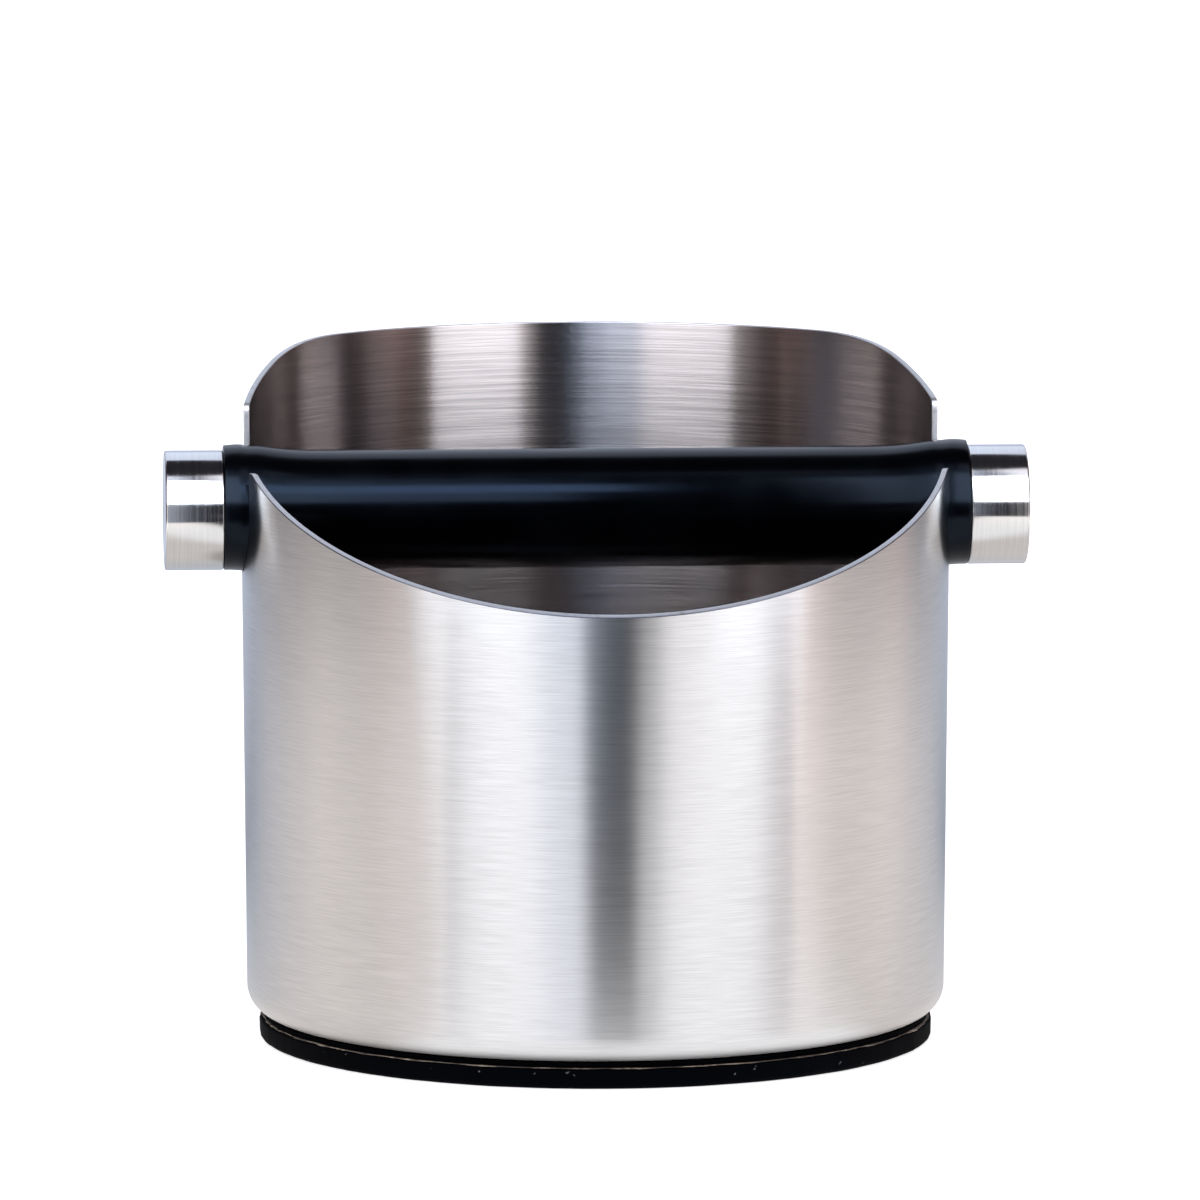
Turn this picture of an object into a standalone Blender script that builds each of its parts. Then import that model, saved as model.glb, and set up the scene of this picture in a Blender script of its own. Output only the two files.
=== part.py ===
"""Countertop espresso knock box: a brushed steel can with an oblique mouth, a rubber-covered knock bar
that lifts out of two open slots, and a soft base. Metres, +Z up, origin at the middle of the base."""

import math

import bpy
import bmesh

# ---- Driving dimensions, in metres ----

# Base: three stacked discs. Each keeps a small gap to the next.
PAD_RADIUS = 0.0587
PAD_THICKNESS = 0.0031
PAD_EDGE_RADIUS = 0.0010
FILM_RADIUS = 0.0583
FILM_THICKNESS = 0.0002
FOAM_RADIUS = 0.0576
FOAM_THICKNESS = 0.0003
GAP = 0.0003

# Can: drawn steel, slightly wider at the mouth than at the bottom.
CAN_BOTTOM = 0.0045
CAN_TOP = 0.1187
CAN_RADIUS_BOTTOM = 0.06085
CAN_RADIUS_TOP = 0.06184
WALL = 0.0010
CORNER_RADIUS = 0.0048
BLANK_MARGIN = 0.0040

# Mouth, in the side view (y towards the back, z up): a low front lip, a rising edge to the horns,
# the two bar slots, and a rear wall with rounded upper corners.
LIP_Y = -0.0615
LIP_Z = 0.0813
LIP_EDGE_BOW = 0.00035
HORN_Y = -0.0139
HORN_Z = 0.1004
HORN_CORNER = 0.0006
SLOT_HALF_WIDTH = 0.0107
SHOULDER_Z = 0.1102
SHOULDER_CORNER = 0.0015
SHOULDER_SLOPE = math.radians(20.0)
REAR_CORNER_RADIUS = 0.0500

# Knock bar: a steel rod in a rubber sleeve, with a cap screwed to each end on a stud.
BAR_Z = 0.0927
BAR_RADIUS = 0.0104
BAR_LENGTH = 0.1500
CAP_LENGTH = 0.0102
CAP_CHAMFER = 0.0003
ROD_RADIUS = 0.0060
STUD_RADIUS = 0.0030
STUD_LENGTH = 0.0180
STUD_IN_CAP = 0.0065

STEEL_STEPS = 96
BAR_STEPS = 48

CUTTER_HALF_WIDTH = 0.0800
CUTTER_TOP = 0.1500
CUTTER_REACH = 0.0750
MERGE = 0.00001


# ---- Scene, collections and materials ----


def clear_scene():
    for obj in list(bpy.data.objects):
        bpy.data.objects.remove(obj, do_unlink=True)


def new_collection(name):
    collection = bpy.data.collections.new(name)
    bpy.context.scene.collection.children.link(collection)
    return collection


def new_material(name, colour, roughness, metallic):
    material = bpy.data.materials.new(name)
    material.use_nodes = True
    shader = material.node_tree.nodes["Principled BSDF"]
    shader.inputs["Base Color"].default_value = (*colour, 1.0)
    shader.inputs["Roughness"].default_value = roughness
    shader.inputs["Metallic"].default_value = metallic
    material.diffuse_color = (*colour, 1.0)
    return material


# ---- Shape helpers ----


def arc(centre, radius, start, end, steps):
    """Points on an arc in a 2D plane, from start to end in degrees, both ends included."""
    points = []
    for step in range(steps + 1):
        angle = math.radians(start + (end - start) * step / steps)
        points.append((centre[0] + radius * math.cos(angle), centre[1] + radius * math.sin(angle)))
    return points


def bowed_line(start, end, bow, steps):
    """Points from start to end on a parabola that stands bow above the chord at its middle."""
    points = []
    for step in range(steps + 1):
        t = step / steps
        lift = 4.0 * bow * t * (1.0 - t)
        points.append((start[0] + (end[0] - start[0]) * t, start[1] + (end[1] - start[1]) * t + lift))
    return points


def add_object(name, data, collection, material=None, parent=None):
    obj = bpy.data.objects.new(name, data)
    collection.objects.link(obj)
    if material:
        obj.data.materials.append(material)
    if parent:
        obj.parent = parent
    return obj


def shade_round(mesh):
    mesh.shade_smooth()
    mesh.set_sharp_from_angle(angle=math.radians(30.0))


def turned(name, profile, steps, collection, material, parent=None):
    """A solid of revolution about the local Z axis. The profile is a list of (radius, z), and it
    runs down the outer side."""
    mesh = bpy.data.meshes.new(name)
    points = [(radius, 0.0, z) for radius, z in profile]
    edges = [(index, index + 1) for index in range(len(points) - 1)]
    if profile[0][0] > MERGE:
        edges.append((len(points) - 1, 0))
    mesh.from_pydata(points, edges, [])
    obj = add_object(name, mesh, collection, material, parent)
    screw = obj.modifiers.new("turn", "SCREW")
    screw.axis = "Z"
    screw.angle = math.radians(360.0)
    screw.steps = steps
    screw.render_steps = steps
    screw.use_merge_vertices = True
    screw.merge_threshold = MERGE
    screw.use_smooth_shade = True
    return obj


def disc(name, radius, bottom, thickness, edge_radius, steps, collection, material):
    """A flat disc on the Z axis, with its rim rounded when edge_radius is given."""
    mesh = bpy.data.meshes.new(name)
    shape = bmesh.new()
    bmesh.ops.create_cone(
        shape, cap_ends=True, segments=steps, radius1=radius, radius2=radius, depth=thickness
    )
    shape.to_mesh(mesh)
    shape.free()
    obj = add_object(name, mesh, collection, material)
    obj.location = (0.0, 0.0, bottom + thickness / 2.0)
    if edge_radius > 0.0:
        bevel = obj.modifiers.new("rounded_rim", "BEVEL")
        bevel.width = edge_radius
        bevel.segments = 3
        bevel.limit_method = "ANGLE"
        bevel.angle_limit = math.radians(40.0)
    shade_round(mesh)
    return obj


def side_prism(name, outline, half_width, collection):
    """A prism across the whole object, from a closed outline of (y, z) points in the side view."""
    curve = bpy.data.curves.new(name + "_outline", "CURVE")
    curve.dimensions = "2D"
    curve.fill_mode = "BOTH"
    curve.extrude = half_width
    spline = curve.splines.new("POLY")
    spline.points.add(len(outline) - 1)
    for point, (y, z) in zip(spline.points, outline):
        point.co = (y, z, 0.0, 1.0)
    spline.use_cyclic_u = True
    guide = add_object(name + "_outline", curve, collection)
    guide.rotation_euler = (math.radians(90.0), 0.0, math.radians(90.0))
    bpy.context.view_layer.update()

    evaluated = guide.evaluated_get(bpy.context.evaluated_depsgraph_get())
    mesh = bpy.data.meshes.new_from_object(evaluated)
    shape = bmesh.new()
    shape.from_mesh(mesh)
    bmesh.ops.remove_doubles(shape, verts=shape.verts, dist=MERGE)
    bmesh.ops.recalc_face_normals(shape, faces=shape.faces)
    shape.to_mesh(mesh)
    shape.free()
    prism = add_object(name, mesh, collection)
    prism.matrix_world = guide.matrix_world.copy()
    prism.hide_render = True
    prism.display_type = "WIRE"
    bpy.data.objects.remove(guide, do_unlink=True)
    return prism


# ---- Can ----


def can_radius(z):
    """Outer radius of the can at height z. The wall leans out by about half a degree."""
    share = (z - CAN_BOTTOM) / (CAN_TOP - CAN_BOTTOM)
    return CAN_RADIUS_BOTTOM + (CAN_RADIUS_TOP - CAN_RADIUS_BOTTOM) * share


def can_profile():
    """Inside bottom, inside wall up, over the blank's top, outside wall down, outside bottom."""
    blank_top = CAN_TOP + BLANK_MARGIN
    corner_z = CAN_BOTTOM + CORNER_RADIUS
    corner_centre = (can_radius(corner_z) - CORNER_RADIUS, corner_z)
    inside_corner = arc(corner_centre, CORNER_RADIUS - WALL, -90.0, 0.0, 6)
    outside_corner = arc(corner_centre, CORNER_RADIUS, 0.0, -90.0, 6)
    inside = [(0.0, CAN_BOTTOM + WALL), *inside_corner, (can_radius(blank_top) - WALL, blank_top)]
    outside = [(can_radius(blank_top), blank_top), *outside_corner, (0.0, CAN_BOTTOM)]
    return inside + outside


def mouth_outline():
    """Everything above the can's edge in the side view, as one closed outline of (y, z) points."""
    lip_slope = (HORN_Z - LIP_Z) / (HORN_Y - LIP_Y)
    outline = [(-CUTTER_REACH, LIP_Z - lip_slope * (LIP_Y + CUTTER_REACH))]
    outline += bowed_line((LIP_Y, LIP_Z), (HORN_Y, HORN_Z - HORN_CORNER * lip_slope), LIP_EDGE_BOW, 10)

    horn_corner = (-SLOT_HALF_WIDTH - HORN_CORNER, HORN_Z - HORN_CORNER)
    outline += [(HORN_Y + HORN_CORNER, HORN_Z)]
    outline += arc(horn_corner, HORN_CORNER, 90.0, 0.0, 3)

    outline += arc((0.0, BAR_Z), SLOT_HALF_WIDTH, 180.0, 360.0, 24)

    tilt = math.degrees(SHOULDER_SLOPE)
    shoulder = (SLOT_HALF_WIDTH + SHOULDER_CORNER, SHOULDER_Z - SHOULDER_CORNER)
    outline += arc(shoulder, SHOULDER_CORNER, 180.0, 90.0 + tilt, 4)

    arc_start_z = CAN_TOP - REAR_CORNER_RADIUS * (1.0 - math.cos(SHOULDER_SLOPE))
    rise = arc_start_z - outline[-1][1]
    arc_start_y = outline[-1][0] + rise / math.tan(SHOULDER_SLOPE)
    arc_centre_y = arc_start_y + REAR_CORNER_RADIUS * math.sin(SHOULDER_SLOPE)
    rear_centre = (arc_centre_y, CAN_TOP - REAR_CORNER_RADIUS)
    outline += arc(rear_centre, REAR_CORNER_RADIUS, 90.0 + tilt, 90.0, 8)

    outline += [(CUTTER_REACH, CAN_TOP), (CUTTER_REACH, CUTTER_TOP), (-CUTTER_REACH, CUTTER_TOP)]
    return outline


def make_can(parts, cutters):
    steel = new_material("brushed_steel", (0.62, 0.61, 0.60), 0.30, 1.0)
    shell = turned("body_shell", can_profile(), STEEL_STEPS, parts, steel)
    cut = shell.modifiers.new("mouth", "BOOLEAN")
    cut.operation = "DIFFERENCE"
    cut.solver = "EXACT"
    cut.object = side_prism("mouth_cutter", mouth_outline(), CUTTER_HALF_WIDTH, cutters)


# ---- Base ----


def make_base(parts):
    rubber = new_material("base_rubber", (0.020, 0.020, 0.021), 0.75, 0.0)
    adhesive = new_material("adhesive", (0.45, 0.38, 0.27), 0.60, 0.0)
    foam = new_material("black_foam", (0.015, 0.015, 0.016), 0.90, 0.0)
    film_bottom = PAD_THICKNESS + GAP
    foam_bottom = film_bottom + FILM_THICKNESS + GAP
    disc("base_pad", PAD_RADIUS, 0.0, PAD_THICKNESS, PAD_EDGE_RADIUS, STEEL_STEPS, parts, rubber)
    disc("adhesive_film", FILM_RADIUS, film_bottom, FILM_THICKNESS, 0.0, STEEL_STEPS, parts, adhesive)
    disc("foam_layer", FOAM_RADIUS, foam_bottom, FOAM_THICKNESS, 0.0, STEEL_STEPS, parts, foam)


# ---- Knock bar: its pieces are turned about local Z, then laid along X ----


def drilled_rod_profile(half_length, radius, hole_radius, hole_depth):
    """A rod with the same blind hole in both ends."""
    return [
        (0.0, half_length - hole_depth),
        (hole_radius, half_length - hole_depth),
        (hole_radius, half_length),
        (radius, half_length),
        (radius, -half_length),
        (hole_radius, -half_length),
        (hole_radius, -half_length + hole_depth),
        (0.0, -half_length + hole_depth),
    ]


def tube_profile(half_length, outer, inner):
    return [(outer, half_length), (outer, -half_length), (inner, -half_length), (inner, half_length)]


def cap_profile(hole_depth):
    """A short cylinder from z = 0 outwards, chamfered at both ends, with a blind hole in its inner face."""
    hole_radius = STUD_RADIUS + GAP
    return [
        (0.0, CAP_LENGTH),
        (BAR_RADIUS - CAP_CHAMFER, CAP_LENGTH),
        (BAR_RADIUS, CAP_LENGTH - CAP_CHAMFER),
        (BAR_RADIUS, CAP_CHAMFER),
        (BAR_RADIUS - CAP_CHAMFER, 0.0),
        (hole_radius, 0.0),
        (hole_radius, hole_depth),
        (0.0, hole_depth),
    ]


def make_bar(parts):
    rubber = new_material("sleeve_rubber", (0.018, 0.018, 0.020), 0.55, 0.0)
    rod_steel = new_material("rod_steel", (0.50, 0.50, 0.50), 0.35, 1.0)
    cap_steel = new_material("cap_steel", (0.65, 0.65, 0.65), 0.22, 1.0)
    stud_steel = new_material("stud_steel", (0.45, 0.45, 0.46), 0.40, 1.0)

    axis = bpy.data.objects.new("knock_bar_axis", None)
    parts.objects.link(axis)
    axis.location = (0.0, 0.0, BAR_Z)
    axis.empty_display_size = 0.02

    cap_inner = BAR_LENGTH / 2.0 - CAP_LENGTH
    rod_half = cap_inner - GAP
    stud_end = cap_inner + STUD_IN_CAP
    stud_start = stud_end - STUD_LENGTH
    hole_depth = rod_half - stud_start + GAP
    along_x = math.radians(90.0)

    rod = drilled_rod_profile(rod_half, ROD_RADIUS, STUD_RADIUS + GAP, hole_depth)
    core = turned("bar_core", rod, BAR_STEPS, parts, rod_steel, axis)
    core.rotation_euler = (0.0, along_x, 0.0)

    tube = tube_profile(rod_half, BAR_RADIUS, ROD_RADIUS + GAP)
    sleeve = turned("bar_sleeve", tube, BAR_STEPS, parts, rubber, axis)
    sleeve.rotation_euler = (0.0, along_x, 0.0)

    for side, sign in (("left", -1.0), ("right", 1.0)):
        cap = turned("end_cap_" + side, cap_profile(STUD_IN_CAP + GAP), BAR_STEPS, parts, cap_steel, axis)
        cap.location = (sign * cap_inner, 0.0, 0.0)
        cap.rotation_euler = (0.0, sign * along_x, 0.0)
        pin = [(0.0, STUD_LENGTH), (STUD_RADIUS, STUD_LENGTH), (STUD_RADIUS, 0.0), (0.0, 0.0)]
        stud = turned("cap_stud_" + side, pin, BAR_STEPS // 2, parts, stud_steel, axis)
        stud.location = (sign * stud_start, 0.0, 0.0)
        stud.rotation_euler = (0.0, sign * along_x, 0.0)


def main():
    clear_scene()
    parts = new_collection("knock_box")
    cutters = new_collection("cutters")
    make_can(parts, cutters)
    make_base(parts)
    make_bar(parts)


main()
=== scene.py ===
"""Looks of the espresso knock box: brushed steel can, rubber-covered bar with turned caps, soft base."""
import math

import bpy
import bmesh
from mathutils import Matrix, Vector, noise


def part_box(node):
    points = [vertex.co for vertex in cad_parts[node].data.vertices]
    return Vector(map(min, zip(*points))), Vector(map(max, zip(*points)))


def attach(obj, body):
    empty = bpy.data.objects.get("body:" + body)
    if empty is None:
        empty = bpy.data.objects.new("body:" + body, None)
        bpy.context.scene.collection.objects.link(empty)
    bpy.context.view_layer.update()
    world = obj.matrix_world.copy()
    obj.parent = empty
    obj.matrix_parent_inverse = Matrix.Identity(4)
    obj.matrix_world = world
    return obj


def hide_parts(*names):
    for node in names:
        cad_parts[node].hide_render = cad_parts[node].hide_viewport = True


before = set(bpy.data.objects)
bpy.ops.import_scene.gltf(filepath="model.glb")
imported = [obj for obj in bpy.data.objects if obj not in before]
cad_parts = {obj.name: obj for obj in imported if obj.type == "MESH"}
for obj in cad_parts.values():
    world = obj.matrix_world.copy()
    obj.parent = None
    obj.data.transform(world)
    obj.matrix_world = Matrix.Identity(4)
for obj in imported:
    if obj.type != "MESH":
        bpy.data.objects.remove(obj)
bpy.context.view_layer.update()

# ---- Sizes, in metres. What the frame gives is read from it. ----

MM = 0.001
SHELL_LOW, SHELL_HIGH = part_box("body_shell")
SLEEVE_LOW, SLEEVE_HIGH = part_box("bar_sleeve")
ROD_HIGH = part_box("bar_core")[1]
CAP_LOW, CAP_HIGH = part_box("end_cap_right")
PAD_LOW, PAD_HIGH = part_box("base_pad")
FILM_LOW, FILM_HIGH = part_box("adhesive_film")
FOAM_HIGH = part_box("foam_layer")[1]

CAN_BOTTOM = SHELL_LOW.z
CAN_TOP = SHELL_HIGH.z
WALL = 1.0 * MM
CORNER_RADIUS = 4.8 * MM
EDGE_ROUND = 0.12 * MM

# The mouth in the side view: y towards the back, z up.
LIP_Y = SHELL_LOW.y
LIP_Z = 81.3 * MM
LIP_BOW = 0.35 * MM
HORN_Y = -13.9 * MM
HORN_Z = 100.4 * MM
HORN_CORNER = 0.6 * MM
HORN_DROP = 0.4 * HORN_CORNER
SLOT_HALF = 10.7 * MM
SHOULDER_Z = 110.2 * MM
SHOULDER_CORNER = 1.5 * MM
SHOULDER_SLOPE = math.radians(20.0)
REAR_CORNER = 50.0 * MM

# The wall leans outwards: radius gained per unit of height.
CAN_LEAN = (SHELL_HIGH.y + SHELL_LOW.y) / (CAN_TOP - LIP_Z)

BAR_Z = (SLEEVE_LOW.z + SLEEVE_HIGH.z) / 2.0
BAR_RADIUS = (SLEEVE_HIGH.y - SLEEVE_LOW.y) / 2.0
CAP_START = CAP_LOW.x
CAP_END = CAP_HIGH.x
CAP_RADIUS = CAP_HIGH.y


def can_radius(z):
    """Outer radius of the can at height z."""
    return SHELL_HIGH.y + (z - CAN_TOP) * CAN_LEAN


# ---- Small mesh helpers ----

SMOOTH_ANGLE = math.radians(35.0)


def mesh_object(name, points, faces, smooth_angle=SMOOTH_ANGLE, weld=False):
    """A smooth-shaded mesh object. With weld, points that lie together are joined and the faces are
    turned outwards."""
    mesh = bpy.data.meshes.new(name)
    mesh.from_pydata(points, [], faces)
    mesh.validate()
    if weld:
        work = bmesh.new()
        work.from_mesh(mesh)
        bmesh.ops.remove_doubles(work, verts=work.verts, dist=0.0001 * MM)
        bmesh.ops.recalc_face_normals(work, faces=work.faces)
        work.to_mesh(mesh)
        work.free()
    mesh.shade_smooth()
    mesh.set_sharp_from_angle(angle=smooth_angle)
    obj = bpy.data.objects.new(name, mesh)
    bpy.context.scene.collection.objects.link(obj)
    return obj


def ring_faces(rows, size):
    """Quads between successive closed rows of the same size."""
    faces = []
    for low in range(0, (rows - 1) * size, size):
        high = low + size
        for i in range(size):
            j = (i + 1) % size
            faces.append((low + i, low + j, high + j, high + i))
    return faces


def arc(centre, radius, start, end, steps):
    """Points on an arc in a 2D plane, from start to end in degrees, both ends included."""
    points = []
    for step in range(steps + 1):
        angle = math.radians(start + (end - start) * step / steps)
        points.append((centre[0] + radius * math.cos(angle), centre[1] + radius * math.sin(angle)))
    return points


def on_circle(radius, angle, z):
    """The point at an angle from the front, positive towards the right."""
    return (radius * math.sin(angle), -radius * math.cos(angle), z)


def ease(t):
    """0 to 1 with a soft start and end."""
    return t * t * (3.0 - 2.0 * t)


# ---- Can ----

FRONT_STEPS = 120
REAR_STEPS = 120
SETTLE_ROUNDS = 4
UNDER_EDGE = (0.12 * MM, 0.17 * MM, 0.30 * MM, 0.60 * MM)
WALL_ROWS = 30
ROW_GROWTH = 1.4
FLOOR_SHARES = (0.92, 0.75, 0.55, 0.35, 0.15, 0.04)
EDGE_STEPS = 3
FLAT_SHARES = (0.35, 0.65)


def lip_height(y):
    """Height of the front edge at y, a straight rise with a slight upward bow."""
    t = (y - LIP_Y) / (HORN_Y - LIP_Y)
    return LIP_Z + (HORN_Z - HORN_DROP - LIP_Z) * t + 4.0 * LIP_BOW * t * (1.0 - t)


def shoulder_centre():
    """Centre (y, z) of the shoulder's small round."""
    return (SLOT_HALF + SHOULDER_CORNER, SHOULDER_Z - SHOULDER_CORNER)


def shoulder_arc(steps):
    return arc(shoulder_centre(), SHOULDER_CORNER, 180.0, 90.0 + math.degrees(SHOULDER_SLOPE), steps)


def rear_height(y):
    """Height of the rear edge at y, past the shoulder: a slope, a big round and a level top."""
    leave = shoulder_arc(1)[-1]
    round_start_z = CAN_TOP - REAR_CORNER * (1.0 - math.cos(SHOULDER_SLOPE))
    round_start_y = leave[0] + (round_start_z - leave[1]) / math.tan(SHOULDER_SLOPE)
    centre_y = round_start_y + REAR_CORNER * math.sin(SHOULDER_SLOPE)
    if y >= centre_y:
        return CAN_TOP
    if y < round_start_y:
        return leave[1] + (y - leave[0]) * math.tan(SHOULDER_SLOPE)
    return CAN_TOP - REAR_CORNER + math.sqrt(REAR_CORNER**2 - (y - centre_y) ** 2)


def slot_outline():
    """The side outline from the horn's top to where the shoulder's round ends, as (y, z)."""
    points = [(HORN_Y + HORN_CORNER, HORN_Z)]
    points += arc((-SLOT_HALF - HORN_CORNER, HORN_Z - HORN_CORNER), HORN_CORNER, 90.0, 0.0, 6)
    front_top = HORN_Z - HORN_CORNER
    points += [(-SLOT_HALF, front_top + (BAR_Z - front_top) * step / 8) for step in range(1, 8)]
    points += arc((0.0, BAR_Z), SLOT_HALF, 180.0, 360.0, 48)
    rear_top = shoulder_centre()[1]
    points += [(SLOT_HALF, BAR_Z + (rear_top - BAR_Z) * step / 16) for step in range(1, 16)]
    return points + shoulder_arc(8)


def edge_point(angle, inset, height, z):
    """The edge's (angle, z) on a wall surface, where the height depends on y, and y on the height."""
    for _ in range(SETTLE_ROUNDS):
        z = height(-(can_radius(z) - inset) * math.cos(angle))
    return (angle, z)


def rim_curve(inset):
    """The can's edge on the surface that lies inset inside the outer wall, from front to rear on the
    right side, as (angle from the front, height)."""
    slot = [(math.acos(-y / (can_radius(z) - inset)), z) for y, z in slot_outline()]
    horn_angle = slot[0][0]
    shoulder_angle = slot[-1][0]
    curve = []
    for step in range(FRONT_STEPS):
        curve.append(edge_point(horn_angle * step / FRONT_STEPS, inset, lip_height, LIP_Z))
    curve += slot
    for step in range(1, REAR_STEPS + 1):
        angle = shoulder_angle + (math.pi - shoulder_angle) * step / REAR_STEPS
        curve.append(edge_point(angle, inset, rear_height, CAN_TOP))
    return curve


def sunk(curve, depth):
    """The same curve moved into the material, along the wall, by depth."""
    radius = can_radius(BAR_Z)
    moved = []
    for i, (angle, z) in enumerate(curve):
        before = curve[max(i - 1, 0)]
        after = curve[min(i + 1, len(curve) - 1)]
        along = Vector(((after[0] - before[0]) * radius, after[1] - before[1]))
        if i in (0, len(curve) - 1):
            along.y = 0.0
        along.normalize()
        moved.append((angle + along.y * depth / radius, z - along.x * depth))
    return moved


def spread_angles(curve):
    """Evenly spread angles for the wall's foot, so that the grid fans out under the slot."""
    radius = can_radius(BAR_Z)
    lengths = [0.0]
    for a, b in zip(curve, curve[1:]):
        lengths.append(lengths[-1] + math.hypot((b[0] - a[0]) * radius, b[1] - a[1]))
    middle = min(range(len(curve)), key=lambda i: abs(curve[i][0] - math.pi / 2) + curve[i][1])
    spread = []
    for i, length in enumerate(lengths):
        if i <= middle:
            spread.append(math.pi / 2 * length / lengths[middle])
        else:
            share = (length - lengths[middle]) / (lengths[-1] - lengths[middle])
            spread.append(math.pi / 2 * (1.0 + share))
    return spread


def full_row(half, inset):
    """Points of a whole closed row, from its right half as (angle, height)."""
    loop = list(half) + [(-angle, z) for angle, z in reversed(half[1:-1])]
    return [on_circle(can_radius(z) - inset, angle, z) for angle, z in loop]


def wall_rows(inset):
    """Rows of one wall surface, from just under the rounded edge down to near the middle of the
    bottom, and the height of that bottom."""
    edge = rim_curve(inset)
    foot_angles = spread_angles(rim_curve(0.0))
    rows = [sunk(edge, depth) for depth in UNDER_EDGE]
    last = rows[-1]
    foot_z = CAN_BOTTOM + CORNER_RADIUS
    for step in range(1, WALL_ROWS + 1):
        t = (step / WALL_ROWS) ** ROW_GROWTH
        turn = ease(t)
        row = []
        for (angle, z), foot in zip(last, foot_angles):
            row.append((angle + (foot - angle) * turn, z + (foot_z - z) * t))
        rows.append(row)
    points = [full_row(row, inset) for row in rows]

    corner = CORNER_RADIUS - inset
    centre_radius = can_radius(foot_z) - inset - corner
    profile = arc((centre_radius, foot_z), corner, 0.0, -90.0, 10)[1:]
    floor_z = profile[-1][1]
    profile += [(centre_radius * share, floor_z) for share in FLOOR_SHARES]
    loop = list(foot_angles) + [-angle for angle in reversed(foot_angles[1:-1])]
    for radius, z in profile:
        points.append([on_circle(radius, angle, z) for angle in loop])
    return points, floor_z


def make_can():
    """One closed mesh: inner floor and wall, the cut edge with its small rounds, outer wall and bottom."""
    outer, outer_floor = wall_rows(0.0)
    inner, inner_floor = wall_rows(WALL)
    front_round = []
    back_round = []
    for step in range(1, EDGE_STEPS + 1):
        turn = math.radians(90.0 * step / EDGE_STEPS)
        inset = EDGE_ROUND * (1.0 - math.cos(turn))
        depth = EDGE_ROUND * (1.0 - math.sin(turn))
        front_round.append(full_row(sunk(rim_curve(inset), depth), inset))
        back_round.append(full_row(sunk(rim_curve(WALL - inset), depth), WALL - inset))
    flat = [full_row(rim_curve(WALL * share), WALL * share) for share in FLAT_SHARES]
    rows = inner[::-1] + back_round + flat[::-1] + front_round[::-1] + outer
    size = len(rows[0])
    points = [point for row in rows for point in row]
    faces = [tuple(reversed(face)) for face in ring_faces(len(rows), size)]
    inner_centre = len(points)
    outer_centre = inner_centre + 1
    points.append((0.0, 0.0, inner_floor))
    points.append((0.0, 0.0, outer_floor))
    last = (len(rows) - 1) * size
    for i in range(size):
        j = (i + 1) % size
        faces.append((inner_centre, i, j))
        faces.append((outer_centre, last + j, last + i))
    obj = mesh_object("can", points, faces, math.radians(50.0))

    outside, inside, cut, shaded_round = range(4)
    materials = obj.data.materials
    materials.append(brushed_steel("steel_outside", 0.315, 0.99, (0.605, 0.600, 0.598), 120.0, 0.17, 0.08))
    materials.append(brushed_steel("steel_inside", 0.225, 0.97, (0.430, 0.385, 0.370), 45.0, 0.30, 0.01))
    materials.append(cut_edge("steel_cut_edge", (0.46, 0.45, 0.45), (0.24, 0.17, 0.12)))
    # Painted shade: near-black steel for the outer rounded edge, a thin dark line along the rim.
    materials.append(cut_edge("steel_edge_painted_shade", (0.12, 0.12, 0.14), (0.06, 0.05, 0.04)))
    slots = [inside] * (len(inner) - 1) * size
    slots += [cut] * (len(back_round) + len(flat) + 2) * size
    # Painted shade on the lower part of the outer round and the thin band just under it.
    slots += [shaded_round] * len(front_round) * size
    slots += [outside] * (len(outer) - 2) * size
    slots += [inside, outside] * size
    for polygon, slot in zip(obj.data.polygons, slots):
        polygon.material_index = slot
    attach(obj, "can")
    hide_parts("body_shell")


# ---- Node trees and materials ----


class Nodes:
    """A short way to write a node tree."""

    def __init__(self, tree):
        self.tree = tree

    def add(self, kind, **settings):
        node = self.tree.nodes.new(kind)
        for key, value in settings.items():
            setattr(node, key, value)
        return node

    def link(self, source, target):
        self.tree.links.new(source, target)

    def put(self, value, socket):
        """Gives a socket a number, a colour, or a link from another socket."""
        if isinstance(value, (int, float)):
            socket.default_value = value
        elif isinstance(value, tuple):
            socket.default_value = (*value, 1.0)
        else:
            self.link(value, socket)

    def position(self):
        """The place on the object, as one vector."""
        return self.add("ShaderNodeTexCoord").outputs["Object"]

    def split(self, vector):
        node = self.add("ShaderNodeSeparateXYZ")
        self.link(vector, node.inputs["Vector"])
        return node.outputs

    def noise(self, scale, detail, roughness, vector=None):
        node = self.add("ShaderNodeTexNoise")
        for key, number in (("Scale", scale), ("Detail", detail), ("Roughness", roughness)):
            node.inputs[key].default_value = number
        if vector is None:
            vector = self.position()
        self.link(vector, node.inputs["Vector"])
        return node.outputs["Fac"]

    def spread(self, value, low, high, to_low=0.0, to_high=1.0, kind="LINEAR"):
        """Maps low..high to to_low..to_high, and holds the ends outside it."""
        node = self.add("ShaderNodeMapRange", interpolation_type=kind)
        for key, number in (("From Min", low), ("From Max", high), ("To Min", to_low), ("To Max", to_high)):
            node.inputs[key].default_value = number
        self.link(value, node.inputs["Value"])
        return node.outputs["Result"]

    def math(self, operation, first, second=None):
        node = self.add("ShaderNodeMath", operation=operation)
        self.put(first, node.inputs[0])
        if second is not None:
            self.put(second, node.inputs[1])
        return node.outputs["Value"]

    def length(self, first, second):
        squares = [self.math("MULTIPLY", value, value) for value in (first, second)]
        return self.math("SQRT", self.math("ADD", *squares))

    def mix(self, factor, first, second, blend="MIX"):
        node = self.add("ShaderNodeMix", data_type="RGBA", blend_type=blend)
        for value, socket in ((factor, 0), (first, 6), (second, 7)):
            self.put(value, node.inputs[socket])
        return node.outputs[2]

    def strokes(self, first, second, height, along, across):
        """Coordinates for fine strokes: they change slowly with first and second, and fast with height."""
        join = self.add("ShaderNodeCombineXYZ")
        for i, (value, scale) in enumerate(((first, along), (second, along), (height, across))):
            self.link(self.math("MULTIPLY", value, scale), join.inputs[i])
        return join.outputs["Vector"]


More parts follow.
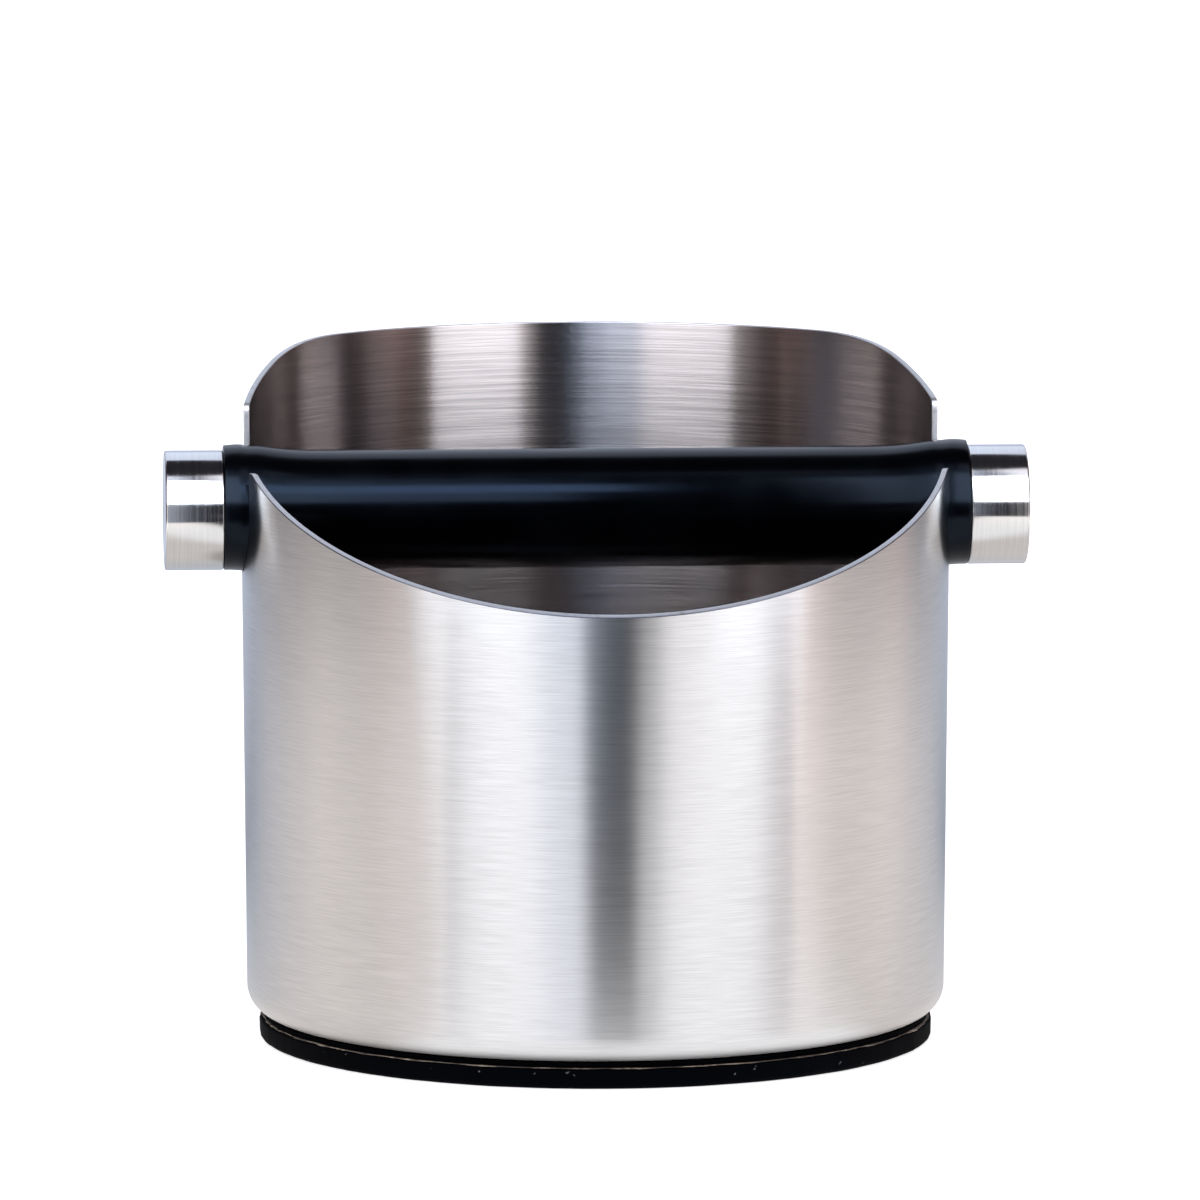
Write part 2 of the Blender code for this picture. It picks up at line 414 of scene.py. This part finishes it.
class Material(Nodes):
    """A material's node tree, with its shader."""

    def __init__(self, name):
        self.material = bpy.data.materials.new(name)
        self.material.use_nodes = True
        super().__init__(self.material.node_tree)
        self.shader = self.tree.nodes["Principled BSDF"]

    def surface(self, colour, roughness, metallic=0.0):
        self.put(colour, self.shader.inputs["Base Color"])
        self.put(roughness, self.shader.inputs["Roughness"])
        self.put(metallic, self.shader.inputs["Metallic"])

    def bump(self, height, strength, distance):
        node = self.add("ShaderNodeBump")
        node.inputs["Strength"].default_value = strength
        node.inputs["Distance"].default_value = distance
        self.link(height, node.inputs["Height"])
        self.link(node.outputs["Normal"], self.shader.inputs["Normal"])

    def stretch_highlights(self, anisotropy, axis):
        """Stretches highlights across strokes that run round an axis."""
        self.shader.inputs["Anisotropic"].default_value = anisotropy
        self.shader.inputs["Anisotropic Rotation"].default_value = 0.25
        tangent = self.add("ShaderNodeTangent", direction_type="RADIAL", axis=axis)
        self.link(tangent.outputs["Tangent"], self.shader.inputs["Tangent"])

    def only_glows(self, colour, strength=1.0):
        """Replaces the shader with a light of its own."""
        self.tree.nodes.remove(self.shader)
        glow = self.add("ShaderNodeEmission")
        self.put(colour, glow.inputs["Color"])
        self.put(strength, glow.inputs["Strength"])
        self.link(glow.outputs[0], self.tree.nodes["Material Output"].inputs["Surface"])
        return glow


# The brushing: how fast its strokes change along and across, and each kind's share.
FINE_ACROSS = 6200.0
FINE_SHARE = 0.93
MEDIUM_ALONG = 35.0
MEDIUM_ACROSS = 1700.0
MEDIUM_SHARE = 0.07


def darker(colour, share):
    return tuple(channel * share for channel in colour)


def brushed_steel(name, roughness, anisotropy, colour, along, contrast, bump_strength):
    """Stainless sheet brushed round the can, with rings on its floor. A lower along makes longer
    strokes, and contrast is how much darker the darkest ones are."""
    n = Material(name)
    x, y, z = n.split(n.position())
    height = n.math("ADD", z, n.length(x, y))
    fine = n.noise(1.0, 3.0, 0.6, n.strokes(x, y, height, along, FINE_ACROSS))
    medium = n.noise(1.0, 2.0, 0.5, n.strokes(x, y, height, MEDIUM_ALONG, MEDIUM_ACROSS))
    cloud = n.noise(30.0, 2.0, 0.5)
    stroke = n.math("ADD", n.math("MULTIPLY", fine, FINE_SHARE), n.math("MULTIPLY", medium, MEDIUM_SHARE))
    shade = n.spread(stroke, 0.36, 0.62)
    rough = n.math(
        "ADD",
        n.spread(stroke, 0.3, 0.7, roughness - 0.02, roughness + 0.02),
        n.spread(cloud, 0.3, 0.7, -0.01, 0.01),
    )
    n.surface(n.mix(shade, darker(colour, 1.04 - contrast), darker(colour, 1.04)), rough, 1.0)
    n.stretch_highlights(anisotropy, "Z")
    n.bump(stroke, bump_strength, 0.008 * MM)
    return n.material


def cut_edge(name, bright, stain):
    """The cut through the sheet: a fine grain with brownish specks. Given dark colours, it also paints the
    shade along the outer rounded edge.
    """
    n = Material(name)
    grain = n.noise(1500.0, 3.0, 0.6)
    spots = n.noise(700.0, 2.0, 0.5)
    tint = n.mix(n.spread(spots, 0.60, 0.75, 0.0, 0.35), bright, stain)
    n.surface(tint, n.spread(grain, 0.3, 0.7, 0.28, 0.45), 1.0)
    n.bump(grain, 0.5, 0.02 * MM)
    return n.material


def rubber(name, colour, roughness, speckle, dust, specular):
    """Moulded rubber with a fine skin, and light dust where dust is above 0."""
    n = Material(name)
    skin = n.noise(2600.0, 3.0, 0.6)
    soft = n.noise(90.0, 2.0, 0.5)
    base = n.mix(n.spread(soft, 0.3, 0.7), darker(colour, 0.7), colour)
    if dust > 0.0:
        grit = n.noise(900.0, 1.0, 0.4)
        base = n.mix(n.spread(grit, 0.76, 0.80, 0.0, dust), base, (0.35, 0.36, 0.38))
    n.surface(base, n.spread(soft, 0.3, 0.7, roughness - 0.03, roughness + 0.04))
    n.shader.inputs["Specular IOR Level"].default_value = specular
    n.shader.inputs["Specular Tint"].default_value = (0.55, 0.72, 1.0, 1.0)
    n.bump(skin, speckle, 0.02 * MM)
    return n.material


def turned_steel(name, colour, roughness):
    """Fine turning marks round the bar's axis, and rings on a cap's end face."""
    n = Material(name)
    x, y, z = n.split(n.position())
    z = n.math("SUBTRACT", z, BAR_Z)
    marks = n.noise(1.0, 3.0, 0.6, n.strokes(y, z, n.math("SUBTRACT", x, n.length(y, z)), 40.0, 4200.0))
    tint = n.mix(n.spread(marks, 0.3, 0.7), darker(colour, 0.9), colour)
    n.surface(tint, n.spread(marks, 0.3, 0.7, roughness - 0.03, roughness + 0.04), 1.0)
    n.stretch_highlights(0.80, "X")
    n.bump(marks, 0.5, 0.008 * MM)
    return n.material


def adhesive_material():
    """Beige film edge: pale blots, and stretches where it has darkened."""
    n = Material("adhesive_beige")
    blotch = n.noise(500.0, 3.0, 0.6)
    stretch = n.noise(120.0, 2.0, 0.5)
    beige = n.mix(n.spread(blotch, 0.40, 0.62), (0.10, 0.07, 0.05), (0.44, 0.37, 0.29))
    tint = n.mix(n.spread(stretch, 0.45, 0.60, 0.0, 0.85), beige, (0.035, 0.026, 0.020))
    n.surface(tint, n.spread(blotch, 0.3, 0.7, 0.45, 0.7))
    n.bump(blotch, 0.6, 0.05 * MM)
    return n.material


# ---- Knock bar ----

BAR_SEGMENTS = 160
SLEEVE_ROWS = 220
SLEEVE_GAP = 0.05 * MM
SLEEVE_LIP = 0.15 * MM
SLEEVE_LIP_TURNS = (0.0, 30.0, 60.0)
ROD_GAP = 0.3 * MM
CAP_EDGE = 0.35 * MM
CAP_EDGE_STEPS = 5
CAP_BORE = 3.3 * MM
CAP_BORE_DEPTH = 6.8 * MM
ALMOST_AXIS = 0.0001 * MM

# The pinch, measured outwards from the can's inner wall.
BULGE_AT = 1.0 * MM
BULGE_REACH = 7.0 * MM
BULGE_WIDE = 0.30 * MM
BULGE_HIGH = 1.05 * MM
GRIP_AT = -0.2 * MM
GRIP_REACH = 1.1 * MM
GRIP_WIDE = 0.12 * MM
GRIP_HIGH = 0.15 * MM
SEAT_AT = 0.5 * MM
SEAT_REACH = 1.5 * MM
SEAT_LOW = 0.15 * MM


def turned_x(name, profile, sign, shape=None):
    """A solid of revolution about the bar's axis. The profile is a closed list of (x, radius);
    shape may change the width and height of a ring point, given x, how far up it is, and its radius."""
    points = []
    for x, radius in profile:
        for i in range(BAR_SEGMENTS):
            angle = 2.0 * math.pi * i / BAR_SEGMENTS
            wide, high = shape(x, math.sin(angle), radius) if shape else (radius, radius)
            points.append((sign * x, wide * math.cos(angle), BAR_Z + high * math.sin(angle)))
    faces = ring_faces(len(profile), BAR_SEGMENTS)
    last = (len(profile) - 1) * BAR_SEGMENTS
    for i in range(BAR_SEGMENTS):
        j = (i + 1) % BAR_SEGMENTS
        faces.append((last + i, last + j, j, i))
    if sign < 0:
        faces = [tuple(reversed(face)) for face in faces]
    return mesh_object(name, points, faces, weld=True)


def pinch(x, up, radius):
    """The rubber is squeezed where it sits in the slots: narrower at the wall, resting on the slot's
    bottom, and bulging upwards and to both sides."""
    if radius < 0.8 * BAR_RADIUS:
        return radius, radius
    away = abs(x) - (can_radius(BAR_Z) - WALL)
    bulge = math.exp(-(((away - BULGE_AT) / BULGE_REACH) ** 2))
    grip = math.exp(-(((away - GRIP_AT) / GRIP_REACH) ** 2))
    seat = math.exp(-(((away - SEAT_AT) / SEAT_REACH) ** 2))
    wide = radius + BULGE_WIDE * bulge - GRIP_WIDE * grip
    if up < 0.0:
        return wide, radius + SEAT_LOW * seat
    return wide, radius + BULGE_HIGH * bulge * up - GRIP_HIGH * grip


def make_sleeve():
    inner = ROD_HIGH.y + ROD_GAP
    end = CAP_START - SLEEVE_GAP
    lip = []
    for degrees in SLEEVE_LIP_TURNS:
        turn = math.radians(degrees)
        inward = SLEEVE_LIP * (1.0 - math.sin(turn))
        down = SLEEVE_LIP * (1.0 - math.cos(turn))
        lip.append((end - inward, BAR_RADIUS - down))
    half = [(end, inner), (end, BAR_RADIUS - SLEEVE_LIP)] + lip[::-1]
    flat = end - SLEEVE_LIP
    profile = half + [(flat - 2.0 * flat * step / SLEEVE_ROWS, BAR_RADIUS) for step in range(1, SLEEVE_ROWS)]
    profile += [(-x, radius) for x, radius in reversed(half)]
    obj = turned_x("rubber_sleeve", profile, 1.0, pinch)
    obj.data.materials.append(rubber("rubber_black", (0.0004, 0.0005, 0.0010), 0.19, 0.20, 0.0, 0.15))
    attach(obj, "knock_bar")
    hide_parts("bar_sleeve")


def make_cap(side, sign):
    """A solid cap with rounded rims and a blind bore for its stud."""
    bore_end = CAP_START + CAP_BORE_DEPTH
    profile = [(bore_end, ALMOST_AXIS), (bore_end, CAP_BORE), (CAP_START, CAP_BORE)]
    turns = [math.radians(90.0 * step / CAP_EDGE_STEPS) for step in range(CAP_EDGE_STEPS + 1)]
    for turn in turns:
        x = CAP_START + CAP_EDGE * (1.0 - math.cos(turn))
        profile.append((x, CAP_RADIUS - CAP_EDGE * (1.0 - math.sin(turn))))
    for turn in turns:
        x = CAP_END - CAP_EDGE * (1.0 - math.sin(turn))
        profile.append((x, CAP_RADIUS - CAP_EDGE * (1.0 - math.cos(turn))))
    profile += [(CAP_END, (CAP_RADIUS - CAP_EDGE) * share) for share in (0.8, 0.6, 0.4, 0.2)]
    profile.append((CAP_END, ALMOST_AXIS))
    obj = turned_x("steel_cap_" + side, profile, sign)
    obj.data.materials.append(turned_steel("steel_turned_" + side, (0.57, 0.565, 0.56), 0.15))
    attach(obj, "knock_bar")
    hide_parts("end_cap_" + side)


def finish_hidden_steel():
    """The rod and studs keep their CAD shape and get turned steel."""
    steel = turned_steel("steel_rod", (0.55, 0.55, 0.55), 0.32)
    for name in ("bar_core", "cap_stud_left", "cap_stud_right"):
        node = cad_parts[name]
        node.data.materials.clear()
        node.data.materials.append(steel)


# ---- Base ----

DISC_SEGMENTS = 480
RIM_STEPS = 5
TOP_RIM_SHARE = 0.35
WOBBLE_TURNS = 9.0
WOBBLE_RISE = 300.0
CURL_ANGLE = math.radians(270.0)
CURL_SPREAD = math.radians(22.0)


def base_disc(name, bottom, top, radius, edge, wobble, seed, curl=0.0):
    """A disc with rounded rims and a slightly uneven edge. With curl, the edge stands up by that much
    at the left and is ragged near it."""
    turns = [math.radians(90.0 * step / RIM_STEPS) for step in range(RIM_STEPS + 1)]
    small = edge * TOP_RIM_SHARE
    profile = []
    for turn in turns:
        profile.append((radius - edge * (1.0 - math.sin(turn)), bottom + edge * (1.0 - math.cos(turn))))
    for turn in turns:
        profile.append((radius - small * (1.0 - math.cos(turn)), top - small * (1.0 - math.sin(turn))))
    points = []
    for reach, z in profile:
        for i in range(DISC_SEGMENTS):
            angle = 2.0 * math.pi * i / DISC_SEGMENTS
            across, along = math.cos(angle) * WOBBLE_TURNS, math.sin(angle) * WOBBLE_TURNS
            spot = Vector((across, along, seed + z * WOBBLE_RISE))
            push = wobble * noise.fractal(spot, 0.6, 2.0, 4)
            lift = math.exp(-(((angle - CURL_ANGLE) / CURL_SPREAD) ** 2))
            ragged = 0.6 + 0.8 * noise.fractal(spot * 4.0, 0.7, 2.0, 3)
            points.append(on_circle(reach + push, angle, z + curl * lift * ragged))
    faces = ring_faces(len(profile), DISC_SEGMENTS)
    low, high = len(points), len(points) + 1
    points += [(0.0, 0.0, bottom), (0.0, 0.0, top)]
    last = (len(profile) - 1) * DISC_SEGMENTS
    for i in range(DISC_SEGMENTS):
        j = (i + 1) % DISC_SEGMENTS
        faces.append((low, j, i))
        faces.append((high, last + i, last + j))
    return mesh_object(name, points, faces, math.radians(45.0))


def make_pad():
    top = PAD_HIGH.z + 0.35 * MM
    pad = base_disc("rubber_pad", PAD_LOW.z, top, PAD_HIGH.x, 0.9 * MM, 0.12 * MM, 3.0)
    pad.data.materials.append(rubber("rubber_base", (0.0006, 0.0006, 0.0010), 0.75, 0.8, 0.35, 0.03))
    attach(pad, "can")
    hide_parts("base_pad")


def make_foam():
    bottom = FILM_HIGH.z - 0.05 * MM
    reach = FOAM_HIGH.x + 0.3 * MM
    foam = base_disc("foam_ring", bottom, CAN_BOTTOM, reach, 0.15 * MM, 0.15 * MM, 11.0)
    foam.data.materials.append(rubber("foam_black", (0.0006, 0.0006, 0.0008), 0.9, 1.0, 0.0, 0.03))
    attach(foam, "can")
    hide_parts("foam_layer")


def make_film():
    bottom = FILM_LOW.z + 0.08 * MM
    film = base_disc(
        "adhesive_line", bottom, FILM_HIGH.z, FILM_HIGH.x, 0.03 * MM, 0.45 * MM, 23.0, curl=0.4 * MM
    )
    film.data.materials.append(adhesive_material())
    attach(film, "can")
    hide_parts("adhesive_film")


# ---- Studio ----

# The world's light by degrees round from the front, right positive: (angle, colour).
HORIZON = (
    (-180, (0.50, 0.56, 0.68)),
    (-150, (0.40, 0.42, 0.50)),
    (-126, (0.10, 0.08, 0.08)),
    (-114, (0.10, 0.07, 0.07)),
    (-98, (0.03, 0.03, 0.04)),
    (-86, (0.03, 0.03, 0.04)),
    (-74, (0.24, 0.14, 0.13)),
    (-62, (0.18, 0.16, 0.17)),
    (-46, (0.82, 0.81, 0.83)),
    (-31, (0.96, 0.95, 0.96)),
    (-25, (0.92, 0.92, 0.95)),
    (-18, (0.60, 0.63, 0.72)),
    (-10, (0.58, 0.61, 0.70)),
    (-3, (0.16, 0.18, 0.24)),
    (1, (0.02, 0.02, 0.03)),
    (15, (0.00, 0.00, 0.00)),
    (21, (0.84, 0.82, 0.84)),
    (30, (0.92, 0.89, 0.90)),
    (50, (0.86, 0.83, 0.84)),
    (57, (0.28, 0.23, 0.23)),
    (70, (0.52, 0.38, 0.37)),
    (86, (0.16, 0.13, 0.13)),
    (98, (0.03, 0.03, 0.04)),
    (111, (0.25, 0.15, 0.14)),
    (126, (0.08, 0.07, 0.08)),
    (150, (0.40, 0.42, 0.50)),
    (180, (0.50, 0.56, 0.68)),
)
WORLD_GAIN = (1.39, 1.39, 1.39)
SOFTBOX_GAIN = (2.05, 2.12, 2.30)
BEHIND_GAIN = (2.4, 2.4, 2.4)
CEILING = (0.028, 0.028, 0.035)
WHITE = (1.0, 1.0, 1.0)


def make_camera():
    data = bpy.data.cameras.new("camera")
    data.lens = 348.07
    data.sensor_width = 36.0
    data.clip_start = 0.05
    data.clip_end = 20.0
    camera = bpy.data.objects.new("camera", data)
    bpy.context.scene.collection.objects.link(camera)
    camera.location = (-0.13198, -2.00006, 0.33548)
    forward = Vector((0.0657, 0.9896, -0.1282))
    camera.rotation_euler = forward.to_track_quat("-Z", "Y").to_euler()
    bpy.context.scene.camera = camera


def horizon_colour(n, turn):
    """The world's colour at a turn from the front, in radians."""
    node = n.add("ShaderNodeValToRGB")
    elements = node.color_ramp.elements
    elements.remove(elements[-1])
    for i, (degrees, colour) in enumerate(HORIZON):
        place = degrees / 360.0 + 0.5
        element = elements[0] if i == 0 else elements.new(place)
        element.position = place
        element.color = (*colour, 1.0)
    n.link(n.math("ADD", n.math("DIVIDE", turn, 2.0 * math.pi), 0.5), node.inputs["Fac"])
    return node.outputs["Color"]


def make_world():
    """A studio with a softbox above the front, brighter light above the back, dark sides and a dark
    ceiling. What the camera sees directly is plain white."""
    world = bpy.data.worlds.new("studio")
    bpy.context.scene.world = world
    world.use_nodes = True
    world.node_tree.nodes.clear()
    n = Nodes(world.node_tree)
    x, y, z = n.split(n.add("ShaderNodeTexCoord").outputs["Generated"])
    forward = n.math("MULTIPLY", y, -1.0)
    turn = n.math("ARCTAN2", x, forward)
    degrees_round = n.math("ABSOLUTE", n.math("MULTIPLY", turn, 180.0 / math.pi))
    degrees_up = n.math("MULTIPLY", n.math("ARCSINE", z), 180.0 / math.pi)

    def rise(value, low, high):
        return n.spread(value, low, high, kind="SMOOTHSTEP")

    in_front = n.math("SUBTRACT", 1.0, rise(degrees_round, 52.0, 62.0))
    softbox = n.math("MULTIPLY", rise(degrees_up, 17.0, 23.0), in_front)
    behind = n.math("MULTIPLY", rise(degrees_up, 17.0, 30.0), rise(degrees_round, 110.0, 140.0))
    gain = n.mix(behind, n.mix(softbox, WORLD_GAIN, SOFTBOX_GAIN), BEHIND_GAIN)
    lit = n.mix(1.0, horizon_colour(n, turn), gain, blend="MULTIPLY")
    ceiling_start = n.math("ADD", 60.0, n.math("MULTIPLY", rise(forward, -0.05, 0.15), 15.0))
    over = rise(n.math("SUBTRACT", degrees_up, ceiling_start), -2.0, 2.0)
    studio = n.mix(over, lit, CEILING)
    seen = n.mix(n.add("ShaderNodeLightPath").outputs["Is Camera Ray"], studio, WHITE)
    background = n.add("ShaderNodeBackground")
    n.link(seen, background.inputs["Color"])
    n.link(background.outputs["Background"], n.add("ShaderNodeOutputWorld").inputs["Surface"])


def make_floor():
    """A plain white floor that reflections don't show."""
    n = Material("floor_white")
    surface = n.tree.nodes["Material Output"].inputs["Surface"]
    glow = n.only_glows(WHITE, 0.75)
    diffuse = n.add("ShaderNodeBsdfDiffuse")
    diffuse.inputs["Color"].default_value = (0.92, 0.92, 0.92, 1.0)
    both = n.add("ShaderNodeAddShader")
    n.link(diffuse.outputs[0], both.inputs[0])
    n.link(glow.outputs[0], both.inputs[1])
    n.link(both.outputs[0], surface)
    half = 4.0
    corners = [(-half, -half, 0.0), (half, -half, 0.0), (half, half, 0.0), (-half, half, 0.0)]
    floor = mesh_object("floor", corners, [(0, 1, 2, 3)])
    floor.location.z = -0.1 * MM
    floor.data.materials.append(n.material)
    floor.visible_glossy = False


def reflected_only(name, points, faces, material):
    """A card that only shows in reflections."""
    card = mesh_object(name, points, faces)
    card.data.materials.append(material)
    card.visible_camera = False
    card.visible_shadow = False
    card.visible_diffuse = False


def upright_card(name, y, left, right, low, high, material):
    """A card that faces the can from the front."""
    corners = [(left, y, low), (right, y, low), (right, y, high), (left, y, high)]
    reflected_only(name, corners, [(0, 1, 2, 3)], material)


def make_near_table():
    """The lit table round the base, as the steel sees it: brighter in front than at the sides."""
    n = Material("near_table_white")
    x, y, _ = n.split(n.position())
    turn = n.math("ARCTAN2", x, n.math("MULTIPLY", y, -1.0))
    turn = n.math("ABSOLUTE", n.math("SUBTRACT", turn, 0.12))
    front = n.mix(n.spread(n.length(x, y), 0.12, 0.27), (1.45, 1.45, 1.48), (1.70, 1.66, 1.64))
    sides = n.mix(n.spread(turn, 1.7, 2.9), (1.00, 0.95, 0.93), (0.65, 0.70, 0.80))
    n.only_glows(n.mix(n.spread(turn, 0.70, 0.95), front, sides))
    reach = 0.320
    points = [on_circle(reach, math.radians(angle), -0.2 * MM) for angle in range(0, 360, 5)]
    reflected_only("near_table", points, [tuple(range(len(points)))], n.material)


def make_side_walls():
    """Low pale walls beside the can that only show in reflections. They dim towards the back and foot."""
    reach, high, end, steps = 0.200, 0.062, 168.0, 24
    middle, rear = (1.95, 1.83, 1.78), (0.55, 0.60, 0.70)
    walls = (("left", -1.0, 46.0, (2.20, 2.08, 2.04)), ("right", 1.0, 54.0, (2.25, 2.08, 2.02)))
    for side, sign, start, front in walls:
        n = Material("side_wall_" + side)
        _, y, z = n.split(n.position())
        fore = n.mix(n.spread(y, -0.095, -0.070), front, middle)
        n.only_glows(n.mix(n.spread(y, 0.0, 0.15), fore, rear), n.spread(z, 0.005, 0.040, 0.60, 1.0))
        turns = [sign * math.radians(start + (end - start) * step / steps) for step in range(steps + 1)]
        points = [on_circle(reach, turn, z) for z in (0.0, high) for turn in turns]
        faces = [(i, i + 1, steps + i + 2, steps + i + 1) for i in range(steps)]
        reflected_only("side_wall_" + side, points, faces, n.material)


def make_dark_cards():
    """Black cards in front of the can that only show in reflections: they stand for the dark camera side."""
    n = Material("card_black")
    n.surface((0.002, 0.002, 0.003), 1.0)
    n.shader.inputs["Specular IOR Level"].default_value = 0.0
    y, left, right = -0.200, -0.024, 0.029
    upright_card("low_card", y, left, right, 0.0, 0.060, n.material)
    upright_card("high_card", y, left, right, 0.090, 0.190, n.material)
    near, far = -0.105, -0.320
    strip = [(-0.006, near, 0.0), (-0.046, far, 0.0), (0.056, far, 0.0), (0.009, near, 0.0)]
    reflected_only("floor_card", strip, [(0, 1, 2, 3)], n.material)


def make_high_lights():
    """Cool lights high in front of the can that only show in reflections: one before each cap, and a
    stack of three between them, with a dark gap right of the middle."""
    y = -0.110
    lights = (
        ("left", -0.170, -0.047, 0.130, 0.320, (6.8, 7.3, 8.1)),
        ("middle_low", -0.047, 0.002, 0.130, 0.172, (3.0, 3.5, 4.3)),
        ("middle", -0.047, 0.014, 0.172, 0.225, (5.5, 7.0, 9.5)),
        ("middle_high", -0.047, 0.002, 0.225, 0.320, (1.2, 1.4, 1.7)),
        ("right", 0.058, 0.190, 0.114, 0.290, (5.6, 6.0, 6.6)),
    )
    for place, left, right, low, high, colour in lights:
        n = Material("high_light_" + place)
        n.only_glows(colour)
        upright_card("high_light_" + place, y, left, right, low, high, n.material)


def main():
    make_camera()
    make_world()
    make_floor()
    make_near_table()
    make_side_walls()
    make_dark_cards()
    make_high_lights()
    make_can()
    make_sleeve()
    make_cap("left", -1.0)
    make_cap("right", 1.0)
    finish_hidden_steel()
    make_pad()
    make_foam()
    make_film()
    bpy.context.scene.view_settings.view_transform = "Standard"


main()
